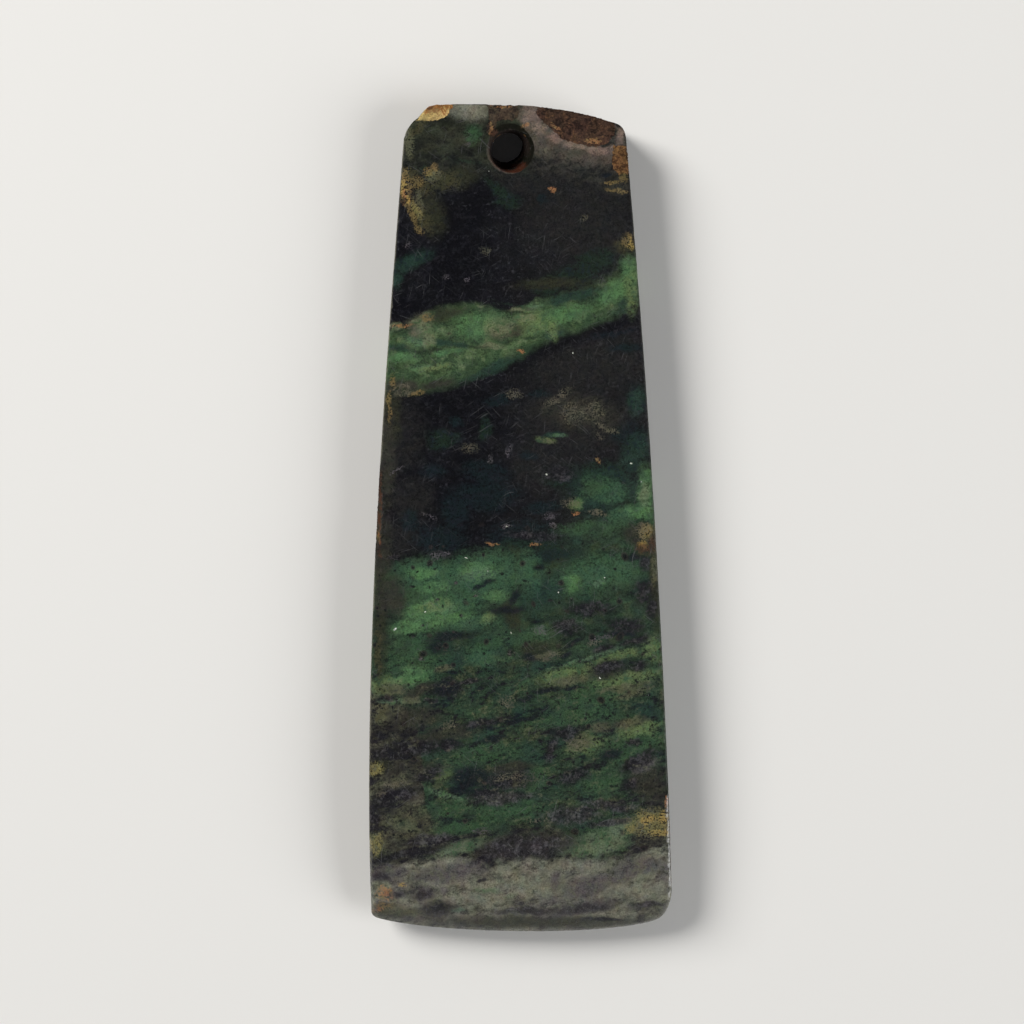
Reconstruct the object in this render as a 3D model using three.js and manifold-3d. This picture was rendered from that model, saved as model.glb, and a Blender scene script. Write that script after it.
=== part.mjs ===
// Jadeite axe head: one flat, tapering stone blade with a lashing hole bored near its butt, lying on its back.
// Millimetres. +X runs across the blade, +Y points to the butt and -Y to the cutting edge, +Z is up from the
// back face to the front face. The origin is on the plane that it lies on, under the middle of its outline.
import * as THREE from "three";
import { mergeVertices } from "three/addons/utils/BufferGeometryUtils.js";
import Module from "manifold-3d";

// Driving dimensions
const LENGTH = 220; // from the crown of the butt to the middle of the cutting edge
const BLADE_WIDTH = 80.7; // widest, a little above the cutting edge
const BUTT_WIDTH = 59.3;
const BUTT_LEAN = -1.4; // how far the middle of the butt lies from the middle of the blade
const THICKNESS = 12; // between the two ground faces

// Ground faces
const EDGE_THICKNESS = 0.7; // of the cutting edge, left blunt
const BEVEL_LENGTH = 6.5; // of the cutting bevel, on each face
const SHOULDER_THICKNESS = 8; // where the cutting bevel starts
const TAPER_LENGTH = 33; // above the bevel, over which the blade thins
const EDGE_BOW = 3.4; // how far the cutting edge rises towards its corners
const CAMBER = 0.7; // how far a face falls from its flat middle to the sides
const BUTT_FALL = 0.5; // how much more it falls at the butt
const BUTT_FALL_LENGTH = 22;
const ARRIS = 0.35; // width and depth of the worn arris between a face and a side
const LEFT_ARRIS = 0.65; // the same along the left side
const SIDE_BULGE = 0.25; // how far the sides stand out at mid-thickness
const FRONT_FLAT = 0.35; // share of the half width that is flat
const BACK_FLAT = 0.55;
const OUTER_SHARE = 0.67; // where the rings that follow the middle line give way to those that follow the side
const NEAR_SIDE_INSETS = [9, 6.4, 3.6, 1.6];

// Lashing hole: a bore from each face, meeting out of line
const HOLE_SIDES = 40;
const LIP = 0.35; // worn rim of each bore
const FRONT_BORE = {
  mouth: new THREE.Vector3(-2.5, 97.3, THICKNESS),
  foot: new THREE.Vector3(-3.45, 97.7, 5.4),
  mouthRadius: 5.6,
  footRadius: 4.4,
};
const BACK_BORE = {
  mouth: new THREE.Vector3(-4.2, 100.8, 0),
  foot: new THREE.Vector3(-3.6, 98.5, 6.6),
  mouthRadius: 4.8,
  footRadius: 4.4,
};

// Broken and unground places on the front face. Each scar is the dent that a flattened ball leaves: at is its
// middle, reach its half sizes along its length and width, turn the angle of its length, depth how far it goes in.
const SCARS = [
  { at: [17.0, 103.6], reach: [13.5, 5.6], turn: -15, depth: 0.7 }, // unground skin at the butt's right corner
  { at: [-4.0, 105.6], reach: [5.6, 4.2], turn: 5, depth: 0.25 }, // unground skin above the hole
  { at: [-22.5, 107.9], reach: [5.2, 2.3], turn: 12, depth: 0.6 }, // flake beside the butt's broken corner
  { at: [29.2, 94.6], reach: [4.6, 2.1], turn: 96, depth: 0.35 }, // flake on the right side
  { at: [-38.0, 0.4], reach: [10.5, 1.6], turn: 86.5, depth: 1.7 }, // long flake on the left side
];
const SCAR_ROUNDNESS = 2.2; // height of the ball over the depth of its dent
const SCAR_DETAIL = 6;
const SCAR_WAVE = 0.07; // how uneven the rim of a scar is, as a share of its reach

const BUTT = LENGTH / 2;
const EDGE = -LENGTH / 2;
const BLADE_HALF = BLADE_WIDTH / 2;
const MID = THICKNESS / 2;
const { clamp, degToRad, inverseLerp, lerp, smoothstep } = THREE.MathUtils;

const at = (x, y) => new THREE.Vector2(x, y);

// A side of the blade: nearly straight, standing outside its chord by about the two bows.
function bowedSide(start, end, startBow, endBow) {
  const chord = end.clone().sub(start);
  const outward = at(chord.y, -chord.x).normalize();
  const control = (share, bow) =>
    start.clone().addScaledVector(chord, share).addScaledVector(outward, bow);
  return new THREE.CubicBezierCurve(start, control(1 / 3, startBow), control(2 / 3, endBow), end);
}

// The plan outline, anticlockwise from the right end of the cutting edge.
function planOutline() {
  const right = {
    edge: at(36, EDGE + 3),
    foot: at(BLADE_HALF, EDGE + 11),
    top: at(BUTT_LEAN + BUTT_WIDTH / 2, BUTT - 9.6),
    crown: at(26.2, BUTT - 5.5),
  };
  const left = {
    crown: at(-22.5, BUTT - 0.1),
    top: at(BUTT_LEAN - BUTT_WIDTH / 2, BUTT - 9.3),
    foot: at(0.65 - BLADE_HALF, EDGE + 5.5),
    edge: at(2.15 - BLADE_HALF, EDGE + 3.6),
  };
  const corner = (start, control, end) => new THREE.QuadraticBezierCurve(start, control, end);
  const brokenCorner = new THREE.SplineCurve([
    left.crown,
    at(-24.4, BUTT - 0.6),
    at(-26.1, BUTT - 2.2),
    at(-27.3, BUTT - 3.7),
    at(-28.4, BUTT - 4.5),
    at(-30.2, BUTT - 6.9),
    left.top,
  ]);
  const butt = new THREE.CubicBezierCurve(right.crown, at(13.5, BUTT - 0.4), at(0, BUTT + 0.3), left.crown);
  const cuttingEdge = new THREE.CubicBezierCurve(left.edge, at(-24, EDGE - 0.5), at(22, EDGE - 1.6), right.edge);
  const stretches = [
    [corner(right.edge, at(39.9, EDGE + 4.5), right.foot), 8],
    [bowedSide(right.foot, right.top, 2, 1.9), 30],
    [corner(right.top, at(28.1, BUTT - 6.6), right.crown), 5],
    [butt, 18],
    [brokenCorner, 12],
    [bowedSide(left.top, left.foot, 2.5, 5.2), 30],
    [corner(left.foot, at(0.65 - BLADE_HALF, EDGE + 4.3), left.edge), 4],
    [cuttingEdge, 26],
  ];
  return stretches.flatMap(([curve, steps]) => curve.getPoints(steps).slice(0, -1));
}

// Every outline point looks inwards at the nearest point of the blade's middle line.
function middleOf(point) {
  const top = at(BUTT_LEAN, BUTT - 30);
  const bottom = at(0, EDGE + 60);
  const share = clamp(inverseLerp(bottom.y, top.y, point.y), 0, 1);
  return bottom.lerp(top, share);
}

// Half the thickness at a place on a face, where outwards runs from 0 at the flat middle to 1 at the outline.
function halfThickness(place, outwards) {
  const edgeLine = EDGE + EDGE_BOW * Math.abs((place.x - 3) / BLADE_HALF) ** 2.4;
  const aboveEdge = Math.max(place.y - edgeLine, 0);
  const bevel = clamp(aboveEdge / BEVEL_LENGTH, 0, 1);
  const taper = clamp((aboveEdge - BEVEL_LENGTH) / TAPER_LENGTH, 0, 1);
  const thickness =
    lerp(EDGE_THICKNESS, SHOULDER_THICKNESS, 1 - (1 - bevel) ** 1.15) +
    (THICKNESS - SHOULDER_THICKNESS) * (1 - (1 - taper) ** 2);
  const camber = CAMBER * outwards ** 2 * bevel;
  const buttFall = BUTT_FALL * smoothstep(place.y, BUTT - BUTT_FALL_LENGTH, BUTT) * outwards;
  return Math.max(thickness / 2 - camber - buttFall, EDGE_THICKNESS / 2);
}

const arrisAt = (point) => lerp(ARRIS, LEFT_ARRIS, smoothstep(-point.x, 0, 25));

// One ring of points on a face: share of the way from the middle line to the outline, less an inset.
function faceRing(outline, flat, share, inset, side) {
  return outline.map((point) => {
    const middle = middleOf(point);
    const reach = point.distanceTo(middle);
    const portion = share - inset(point) / reach;
    const place = middle.clone().lerp(point, portion);
    const outwards = clamp(inverseLerp(flat, 1, portion), 0, 1);
    return new THREE.Vector3(place.x, place.y, MID + side * halfThickness(place, outwards));
  });
}

// The rings of one face, from its flat middle out to the worn arris, and then the corner of the side.
function faceRings(outline, flat, shares, side) {
  const inside = shares.map((share) => faceRing(outline, flat, share, () => 0, side));
  const nearSide = NEAR_SIDE_INSETS.map((inset) => faceRing(outline, flat, 1, () => inset, side));
  const arris = faceRing(outline, flat, 1, (point) => SIDE_BULGE + arrisAt(point), side);
  const sideCorner = faceRing(outline, flat, 1, () => SIDE_BULGE, side);
  sideCorner.forEach((corner, i) => {
    const rise = Math.max(Math.abs(corner.z - MID) - arrisAt(outline[i]), EDGE_THICKNESS / 4);
    corner.z = MID + side * rise;
  });
  return [...inside, ...nearSide, arris, sideCorner];
}

// The ground blade, before the hole and the scars: rings from the front flat, over the side, to the back flat.
function groundBlade() {
  const outline = planOutline();
  const front = faceRings(outline, FRONT_FLAT, [FRONT_FLAT, 0.5, OUTER_SHARE], 1);
  const back = faceRings(outline, BACK_FLAT, [BACK_FLAT, OUTER_SHARE], -1);
  const girdle = outline.map((point) => new THREE.Vector3(point.x, point.y, MID));
  const rings = [...front, girdle, ...back.reverse()];
  const count = outline.length;
  const index = [];
  for (let ring = 0; ring < rings.length - 1; ring++) {
    for (let i = 0; i < count; i++) {
      const next = (i + 1) % count;
      const [a, b] = [ring * count + i, ring * count + next];
      const [c, d] = [a + count, b + count];
      index.push(a, c, d, a, d, b);
    }
  }
  const flatOf = (ring) => THREE.ShapeUtils.triangulateShape(ring.map((p) => at(p.x, p.y)), []);
  const lastRing = (rings.length - 1) * count;
  for (const [a, b, c] of flatOf(rings[0])) index.push(a, b, c);
  for (const [a, b, c] of flatOf(rings.at(-1))) index.push(lastRing + c, lastRing + b, lastRing + a);
  return new THREE.BufferGeometry().setFromPoints(rings.flat()).setIndex(index);
}

// The space that one bore takes, along its slanting axis: a cone with a worn lip at its mouth.
function boreCutter({ mouth, foot, mouthRadius, footRadius }) {
  const axis = mouth.clone().sub(foot);
  const depth = axis.length();
  const profile = [
    at(0, 0),
    at(footRadius, 0),
    at(mouthRadius, depth - LIP),
    at(mouthRadius + LIP, depth),
    at(mouthRadius + 2 * LIP, depth + 2 * LIP),
    at(0, depth + 2 * LIP),
  ];
  const turn = new THREE.Quaternion().setFromUnitVectors(new THREE.Vector3(0, 1, 0), axis.normalize());
  return new THREE.LatheGeometry(profile, HOLE_SIDES)
    .applyQuaternion(turn)
    .translate(foot.x, foot.y, foot.z);
}

// The flattened, slightly uneven ball whose dent is a scar.
function scarCutter({ at: [x, y], reach: [length, width], turn, depth }) {
  const height = depth * SCAR_ROUNDNESS;
  const sunk = height - depth;
  const widening = 1 / Math.sqrt(1 - (sunk / height) ** 2);
  const ball = new THREE.IcosahedronGeometry(1, SCAR_DETAIL);
  const points = ball.getAttribute("position");
  const point = new THREE.Vector3();
  for (let i = 0; i < points.count; i++) {
    point.fromBufferAttribute(points, i);
    const around = Math.atan2(point.y, point.x);
    const wave = Math.sin(3 * around + x) + 0.7 * Math.sin(7 * around + y) + 0.4 * Math.sin(13 * around);
    const swell = 1 + SCAR_WAVE * wave * Math.hypot(point.x, point.y);
    points.setXYZ(i, point.x * swell, point.y * swell, point.z);
  }
  const place = at(x, y);
  const outwards = place.distanceTo(middleOf(place)) / (BUTT_WIDTH / 2);
  const face = MID + halfThickness(place, clamp(inverseLerp(FRONT_FLAT, 1, outwards), 0, 1));
  return ball
    .scale(length * widening, width * widening, height)
    .rotateZ(degToRad(turn))
    .translate(x, y, face + sunk);
}

const wasm = await Module();
wasm.setup();

function toSolid(geometry) {
  const bare = geometry.clone();
  bare.deleteAttribute("normal");
  bare.deleteAttribute("uv");
  const merged = mergeVertices(bare, 1e-4);
  const vertProperties = new Float32Array(merged.getAttribute("position").array);
  return new wasm.Manifold(new wasm.Mesh({ numProp: 3, vertProperties, triVerts: new Uint32Array(merged.index.array) }));
}

function toGeometry(solid) {
  const { vertProperties, triVerts } = solid.getMesh();
  const geometry = new THREE.BufferGeometry();
  geometry.setAttribute("position", new THREE.BufferAttribute(vertProperties, 3));
  geometry.setIndex(new THREE.BufferAttribute(triVerts, 1));
  geometry.computeVertexNormals();
  return geometry;
}

function axeHead() {
  const cutters = [boreCutter(FRONT_BORE), boreCutter(BACK_BORE), ...SCARS.map(scarCutter)];
  const blade = cutters.reduce((solid, cutter) => solid.subtract(toSolid(cutter)), toSolid(groundBlade()));
  const jadeite = new THREE.MeshStandardMaterial({ color: 0x38483a, roughness: 0.35, metalness: 0 });
  const mesh = new THREE.Mesh(toGeometry(blade), jadeite);
  mesh.name = "axe_head";
  return mesh;
}

const model = new THREE.Group();
model.add(axeHead());
export default model;
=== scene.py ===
"""A flat ground axe head of mottled greenstone, lying on its back face on a pale studio floor.

Places and sizes on the stone are in millimetres in the part's own frame: +X across the blade, +Y towards
the butt and +Z up through the front face. Objects, lights and the camera are in metres.
"""

import math
from collections import namedtuple

import bmesh
import bpy
from mathutils import Matrix, Vector, kdtree, noise


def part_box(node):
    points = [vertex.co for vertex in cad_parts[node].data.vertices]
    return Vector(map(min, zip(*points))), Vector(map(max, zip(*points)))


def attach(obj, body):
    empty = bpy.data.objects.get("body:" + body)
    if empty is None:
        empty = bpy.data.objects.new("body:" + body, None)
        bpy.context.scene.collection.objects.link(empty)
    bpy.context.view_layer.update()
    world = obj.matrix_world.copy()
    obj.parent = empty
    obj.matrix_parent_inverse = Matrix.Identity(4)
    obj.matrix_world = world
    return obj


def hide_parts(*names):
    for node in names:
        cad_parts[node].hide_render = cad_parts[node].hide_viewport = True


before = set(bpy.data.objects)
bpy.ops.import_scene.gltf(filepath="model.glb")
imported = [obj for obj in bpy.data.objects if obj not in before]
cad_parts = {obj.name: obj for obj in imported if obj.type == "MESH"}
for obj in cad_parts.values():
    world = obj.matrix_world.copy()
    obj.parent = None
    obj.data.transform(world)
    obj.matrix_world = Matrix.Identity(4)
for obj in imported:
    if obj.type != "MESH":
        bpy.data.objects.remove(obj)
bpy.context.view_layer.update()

MM = 0.001
BLADE_LOW, BLADE_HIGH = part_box("axe_head")
THICKNESS = BLADE_HIGH.z / MM
MID = THICKNESS / 2

# --------------------------------------------------------------------------------------------------
# Camera, light and floor

LENS = 100
FRAME_WIDTH = 0.2728  # metres across the view, at the blade's mid-thickness
AIM = Vector((-0.00219, 0.00168, MID * MM))


def look_at(thing, target):
    thing.rotation_euler = (target - thing.location).to_track_quat("-Z", "Y").to_euler()


def add_camera():
    data = bpy.data.cameras.new("camera")
    data.lens = LENS
    camera = bpy.data.objects.new("camera", data)
    bpy.context.scene.collection.objects.link(camera)
    distance = FRAME_WIDTH * LENS / data.sensor_width
    camera.location = AIM + Vector((0, 0, distance))
    data.clip_start = 0.01
    bpy.context.scene.camera = camera


def add_softbox(name, place, width, power, warmth=0.0, mirrored=True):
    data = bpy.data.lights.new(name, "AREA")
    data.shape = "DISK"
    data.size = width
    data.energy = power
    data.color = (1, 1 - 0.06 * warmth, 1 - 0.14 * warmth)
    lamp = bpy.data.objects.new(name, data)
    bpy.context.scene.collection.objects.link(lamp)
    lamp.location = place
    lamp.visible_glossy = mirrored
    look_at(lamp, Vector((0, 0, 0)))


# --------------------------------------------------------------------------------------------------
# Shader nodes


class Field:
    """A value, vector or colour that varies over a surface: Python arithmetic on it adds Math nodes."""

    def __init__(self, nodes, socket):
        self.nodes = nodes
        self.socket = socket

    def __add__(self, other):
        return self.nodes.math("ADD", self, other)

    def __radd__(self, other):
        return self.nodes.math("ADD", other, self)

    def __sub__(self, other):
        return self.nodes.math("SUBTRACT", self, other)

    def __rsub__(self, other):
        return self.nodes.math("SUBTRACT", other, self)

    def __mul__(self, other):
        return self.nodes.math("MULTIPLY", self, other)

    def __rmul__(self, other):
        return self.nodes.math("MULTIPLY", other, self)

    def __truediv__(self, other):
        return self.nodes.math("DIVIDE", self, other)


class Nodes:
    """The nodes of one material or world."""

    def __init__(self, owner):
        owner.use_nodes = True
        self.tree = owner.node_tree
        self.tree.nodes.clear()

    def add(self, kind, settings=None, sockets=None, out=0):
        """Adds a node with settings, and with values or links for its sockets. Gives one of its outputs."""
        node = self.tree.nodes.new("ShaderNode" + kind)
        for name, value in (settings or {}).items():
            if name == "points":
                self.set_points(node.mapping, value)
            else:
                setattr(node, name, value)
        for name, value in (sockets or {}).items():
            if isinstance(value, Field):
                self.tree.links.new(value.socket, node.inputs[name])
            else:
                node.inputs[name].default_value = value
        return Field(self, node.outputs[out]) if node.outputs else None

    @staticmethod
    def set_points(mapping, points):
        curve = mapping.curves[0]
        while len(curve.points) < len(points):
            curve.points.new(1, 1)
        for point, place in zip(curve.points, points):
            point.location = place
        mapping.update()

    def math(self, operation, *values, **settings):
        return self.add("Math", {"operation": operation, **settings}, dict(enumerate(values)))

    def vector(self, operation, *values, out=0):
        return self.add("VectorMath", {"operation": operation}, dict(enumerate(values)), out)

    def smooth(self, value, low, high):
        """0 at low and 1 at high, with soft ends. High may be the smaller."""
        sockets = {"Value": value, "From Min": low, "From Max": high}
        return self.add("MapRange", {"interpolation_type": "SMOOTHSTEP"}, sockets)

    def mix(self, factor, first, second):
        return self.add("Mix", {"data_type": "RGBA"}, {0: factor, 6: first, 7: second}, out=2)

    def stretched(self, vector, turn, reach):
        """The vector measured in reaches along axes turned about Z by degrees."""
        sockets = {"Vector": vector, "Rotation": (0, 0, math.radians(turn)), "Scale": reach}
        return self.add("Mapping", {"vector_type": "TEXTURE"}, sockets)

    def reaches_from(self, vector, place, reach):
        """How far the vector is from a place, measured in reaches."""
        shares = [1 / length for length in reach]
        start = [-offset * share for offset, share in zip(place, shares)]
        return self.vector("LENGTH", self.vector("MULTIPLY_ADD", vector, shares, start), out="Value")

    def cloud(self, vector, size, detail=3.0, rough=0.5, out=0, **sockets):
        """Fractal noise from 0 to 1, or a colour of three with out=1. Its largest forms have that size."""
        values = {"Vector": vector, "Scale": 1 / size, "Detail": detail, "Roughness": rough, **sockets}
        return self.add("TexNoise", {"noise_dimensions": "3D"}, values, out)


def tint(red, green, blue):
    """A colour given in display values from 0 to 255."""
    channels = [value / 255 for value in (red, green, blue)]
    return (*(c / 12.92 if c < 0.04045 else ((c + 0.055) / 1.055) ** 2.4 for c in channels), 1)


# --------------------------------------------------------------------------------------------------
# The blade's shape

# Rough places on the front face, as outlines (mm). Skin is the unground brown outside of the boulder.
BUTT_SKIN = [
    (4.8, 109.9), (14, 109.9), (22.8, 107), (25.4, 103.8), (25, 101.8), (23.1, 99.1), (19.9, 98.4),
    (16, 99.1), (11.7, 100.2), (9.6, 101.6), (8.5, 102.9), (6.9, 104.2), (5.2, 105.9), (4.2, 107.5),
]
HOLE_SKIN = [
    (-8.8, 110.9), (-0.6, 110.9), (-0.4, 106.5), (-1.6, 105.2), (-4.5, 105.5), (-6.3, 105.2), (-6.5, 103),
    (-7.6, 101.3), (-9, 102), (-8.7, 104.5), (-8.4, 106.5),
]
SIDE_FLAKE = [
    (24.7, 98.9), (27.4, 98.6), (29.7, 97.2), (29.7, 91.3), (28, 91.1), (26.3, 91), (24.7, 92.4),
    (24.2, 94.5), (24.4, 96.7),
]
CORNER_FLAKE = [
    (-27.7, 105.2), (-24.5, 109.9), (-21.7, 111.9), (-17.6, 110.9), (-18, 108.6), (-19.1, 107.2),
    (-20.7, 105.9), (-23.4, 105.1), (-25.7, 105.4),
]
LEFT_FLAKE = [
    (-42, 11.3), (-37.6, 10.5), (-36.9, 6.9), (-36.6, 2.5), (-36.9, -2.9), (-37.7, -6.4), (-42, -8.3),
]

# The lashing hole leans: the middle and radius (mm) of its rim on the front face and on the back.
FRONT_RIM = Vector((-2.5, 97.3, 5.95))
BACK_RIM = Vector((-4.2, 100.8, 5.15))


def bore_reach(place):
    """How far a place is inside the rims of the lashing hole (mm). Negative outside."""
    middle_x, middle_y, radius = BACK_RIM.lerp(FRONT_RIM, place.z / THICKNESS)
    buried = min(max(min(place.z, THICKNESS - place.z), 0), 1)  # the walls bulge between the rims
    return radius + buried - math.hypot(place.x - middle_x, place.y - middle_y)


def inside_by(outline, x, y):
    """How far a place is inside an outline, in mm. Negative outside."""
    place = Vector((x, y))
    nearest = 1e9
    inside = False
    for (x1, y1), (x2, y2) in zip(outline, outline[1:] + outline[:1]):
        start = Vector((x1, y1))
        along = Vector((x2 - x1, y2 - y1))
        share = min(max((place - start).dot(along) / along.length_squared, 0), 1)
        nearest = min(nearest, (place - start - along * share).length)
        if (y1 > y) != (y2 > y) and x < x1 + (y - y1) / (y2 - y1) * (x2 - x1):
            inside = not inside
    return nearest if inside else -nearest


def smoothstep(low, high, value):
    share = min(max((value - low) / (high - low), 0), 1)
    return share * share * (3 - 2 * share)


THIN_END = -70  # the blade thins from here to the cutting edge (mm)

# Edge lengths of the divided solid (mm): where it is broken or bored, on the rest of the front, on the back
FINE = 0.6
PLAIN = 1.3
COARSE = 2.1


def wanted_spacing(place):
    """The edge length (mm) that a place on the blade needs."""
    x, y, z = place / MM
    if z < MID - 3:
        return COARSE
    if x < -35 and abs(y) < 14:
        return FINE
    return min(max(FINE, FINE + (90 - y) * 0.03), PLAIN)


def refined_copy(source):
    """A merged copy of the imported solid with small, even triangles."""
    mesh = bmesh.new()
    mesh.from_mesh(source.data)
    bmesh.ops.remove_doubles(mesh, verts=mesh.verts, dist=0.002 * MM)
    bmesh.ops.dissolve_limit(mesh, angle_limit=math.radians(0.05), verts=mesh.verts, edges=mesh.edges)
    bmesh.ops.triangulate(mesh, faces=mesh.faces, quad_method="SHORT_EDGE", ngon_method="BEAUTY")
    step = 12.0
    while step > 0.4:
        long_edges = []
        for edge in mesh.edges:
            middle = (edge.verts[0].co + edge.verts[1].co) / 2
            if edge.calc_length() / MM > max(step, wanted_spacing(middle)):
                long_edges.append(edge)
        bmesh.ops.subdivide_edges(mesh, edges=long_edges, cuts=1)
        rest = [face for face in mesh.faces if len(face.verts) > 3]
        bmesh.ops.triangulate(mesh, faces=rest, quad_method="SHORT_EDGE", ngon_method="BEAUTY")
        step *= 0.75
    return mesh


ARRIS_RISE = 4.4  # in the thick part, the arrises are further than this from mid-thickness (mm)


def arris_distance(mesh, reach=3.0):
    """How far (mm) every vertex is from the nearest arris, up to reach. The hole's rim isn't one."""
    sharp = set()
    for edge in mesh.edges:
        slopes = [abs(face.normal.z) for face in edge.link_faces]
        place = edge.verts[0].co / MM
        by_face = abs(place.z - MID) > ARRIS_RISE or place.y < THIN_END
        if by_face and min(slopes) < 0.4 and max(slopes) > 0.6 and bore_reach(place) < -1:
            sharp.update(edge.verts)
    tree = kdtree.KDTree(len(sharp))
    for number, vert in enumerate(sharp):
        tree.insert(vert.co, number)
    tree.balance()
    return [min(tree.find(vert.co)[2] / MM, reach) for vert in mesh.verts]


def soften_faces(mesh, distances):
    """Takes the creases out of the ground faces and scars, and rounds the arrises a little, as use does."""
    faces = [
        vert
        for vert, distance in zip(mesh.verts, distances)
        if distance > 0.8 and bore_reach(vert.co / MM) <= -0.5
    ]
    for _ in range(14):
        bmesh.ops.smooth_vert(mesh, verts=faces, factor=0.5, use_axis_z=True)
    thick = [vert for vert in mesh.verts if vert.co.y / MM > THIN_END]
    every_way = {"use_axis_x": True, "use_axis_y": True, "use_axis_z": True}
    bmesh.ops.smooth_vert(mesh, verts=thick, factor=0.3, **every_way)


MATTE_REACH = 6  # how far round skin and scars the polish is measured (mm)
SIDE_WANDER = 0.7  # how far their borders wander, per mm down the side


def roughness_of(place):
    """How far a place is inside unground skin, and inside a flake scar (mm, negative outside).

    Both begin on the front and run down the sides, with borders that wander there and a ragged foot.
    """
    x, y, z = place
    foot = MID - 1 + 3 * noise.noise(place * 0.16) - z
    if foot > MATTE_REACH:
        return -MATTE_REACH, -MATTE_REACH
    wander = SIDE_WANDER * max(THICKNESS - 1.2 - z, 0)
    x += wander * noise.noise(place * 0.3)
    y += wander * noise.noise(place * 0.3 + Vector((9, 9, 9)))
    skin = flake = -MATTE_REACH
    if y > 86:
        skin = max(inside_by(BUTT_SKIN, x, y), inside_by(HOLE_SKIN, x, y))
        flake = max(inside_by(SIDE_FLAKE, x, y), inside_by(CORNER_FLAKE, x, y))
    elif x < -34 and abs(y) < 16:
        flake = inside_by(LEFT_FLAKE, x, y)
    ragged = 0.5 * noise.fractal(Vector((x, y, 0)) * 0.9, 0.8, 2.2, 4)
    return max(min(skin, -foot), -MATTE_REACH) + ragged, max(min(flake, -foot), -MATTE_REACH) + ragged


def relief(place, skin, flake, arris):
    """How far the surface stands out (mm) from the plain solid."""
    wide = 0.035 * noise.noise(place * 0.05) + 0.02 * noise.noise(place * 0.16)
    grinding = 0.008 * noise.fractal(place * 0.5, 0.9, 2.1, 3)
    height = wide + grinding
    if skin > -0.6:
        rough = noise.fractal(place * 0.55, 0.7, 2.1, 5)
        pocked = abs(noise.noise(place * 0.9)) ** 0.7
        height += smoothstep(-0.3, 0.5, skin) * (0.2 * rough - 0.22 * pocked - 0.1)
    if flake > -0.6:
        height += smoothstep(-0.3, 0.4, flake) * (0.16 * noise.fractal(place * 0.7, 0.8, 2.2, 4) - 0.08)
    nick = noise.noise(place * 0.75) + 0.45 * noise.noise(place * 2.1) - 0.42
    if nick > 0:
        height -= 0.7 * nick * smoothstep(1.3, 0.0, arris)
    return height


def add_axe_head(finish):
    mesh = refined_copy(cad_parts["axe_head"])
    distances = arris_distance(mesh)
    soften_faces(mesh, distances)
    mesh.normal_update()
    places = [vert.co / MM for vert in mesh.verts]
    roughs = [roughness_of(place) for place in places]
    for vert, place, (skin, flake), arris in zip(mesh.verts, places, roughs, distances):
        vert.co += vert.normal * relief(place, skin, flake, arris) * MM
    for face in mesh.faces:
        face.smooth = True
    for edge in mesh.edges:
        edge.smooth = not edge.is_manifold or edge.calc_face_angle() < math.radians(40)
    data = bpy.data.meshes.new("axe_head_stone")
    mesh.to_mesh(data)
    mesh.free()
    write_attribute(data, "skin", [skin for skin, _ in roughs])
    write_attribute(data, "flake", [flake for _, flake in roughs])
    write_attribute(data, "arris", distances)
    write_attribute(data, "bore", [max(bore_reach(place), -2) for place in places])
    data.materials.append(finish)
    stone = bpy.data.objects.new("axe_head_stone", data)
    bpy.context.scene.collection.objects.link(stone)
    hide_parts("axe_head")
    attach(stone, "root")


def write_attribute(data, name, values):
    data.attributes.new(name, "FLOAT", "POINT").data.foreach_set("value", values)


# --------------------------------------------------------------------------------------------------
# The stone's figure

INK = tint(6, 6, 10)
CHARCOAL = tint(18, 18, 22)
ASH = tint(28, 28, 28)
ASH_BROWN = tint(29, 28, 26)
FELT = tint(46, 46, 50)
DEEP_TEAL = tint(17, 29, 31)
SHADE_GREEN = tint(24, 34, 27)
BODY_GREEN = tint(38, 53, 40)
MOSS = tint(46, 55, 38)
LEAF_GREEN = tint(49, 72, 49)
BRIGHT_GREEN = tint(74, 106, 68)
YELLOW_GREEN = tint(88, 104, 67)
SEA_GREEN = tint(49, 75, 56)
PALE_GREEN = tint(88, 100, 78)
MINT = tint(80, 100, 80)
TEAL_GREEN = tint(35, 55, 45)
DARK_LEAF = tint(25, 40, 29)
BAND_SHADE = tint(40, 56, 39)
BAND_GREEN = tint(54, 72, 47)
BAND_LIGHT = tint(73, 91, 61)
BAND_CREAM = tint(97, 101, 78)
LILAC_DARK = tint(25, 24, 28)
LILAC_DUSK = tint(41, 39, 42)
DUSK_FLECK = tint(66, 64, 66)
LILAC_FLECK = tint(50, 49, 51)
BLUE_DARK = tint(17, 23, 28)
LILAC_GREY = tint(74, 70, 71)
LILAC_PALE = tint(76, 72, 76)
BROWN_GREY = tint(46, 46, 39)
DARK_BROWN = tint(31, 29, 27)
OLIVE = tint(42, 43, 31)
OLIVE_TAN = tint(76, 77, 59)
PALE_STONE = tint(110, 110, 96)
GREY_OLIVE = tint(72, 72, 62)
BUTT_SHADE = tint(27, 29, 24)
BUTT_OLIVE = tint(43, 46, 36)
BUTT_GREY = tint(54, 52, 47)
TAN = tint(84, 80, 67)
YELLOW_OCHRE = tint(106, 99, 62)
OCHRE = tint(98, 84, 54)
OCHRE_SHADE = tint(74, 64, 42)
STAIN_OLIVE = tint(56, 54, 37)
AMBER = tint(138, 116, 66)
ORANGE = tint(132, 92, 62)
RUST = tint(64, 44, 34)
SKIN_DARK = tint(34, 25, 21)
SKIN_BROWN = tint(62, 46, 37)
SKIN_TAN = tint(92, 66, 45)
OLIVE_SKIN = tint(58, 51, 41)
FLAKE_BROWN = tint(66, 47, 31)
FLAKE_TAN = tint(98, 72, 46)
HALO = tint(112, 97, 87)
HALO_SHADE = tint(74, 68, 61)
CREAM = tint(158, 136, 88)
BROWN_CREAM = tint(122, 84, 48)
BORE_LILAC = tint(37, 31, 28)
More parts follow.
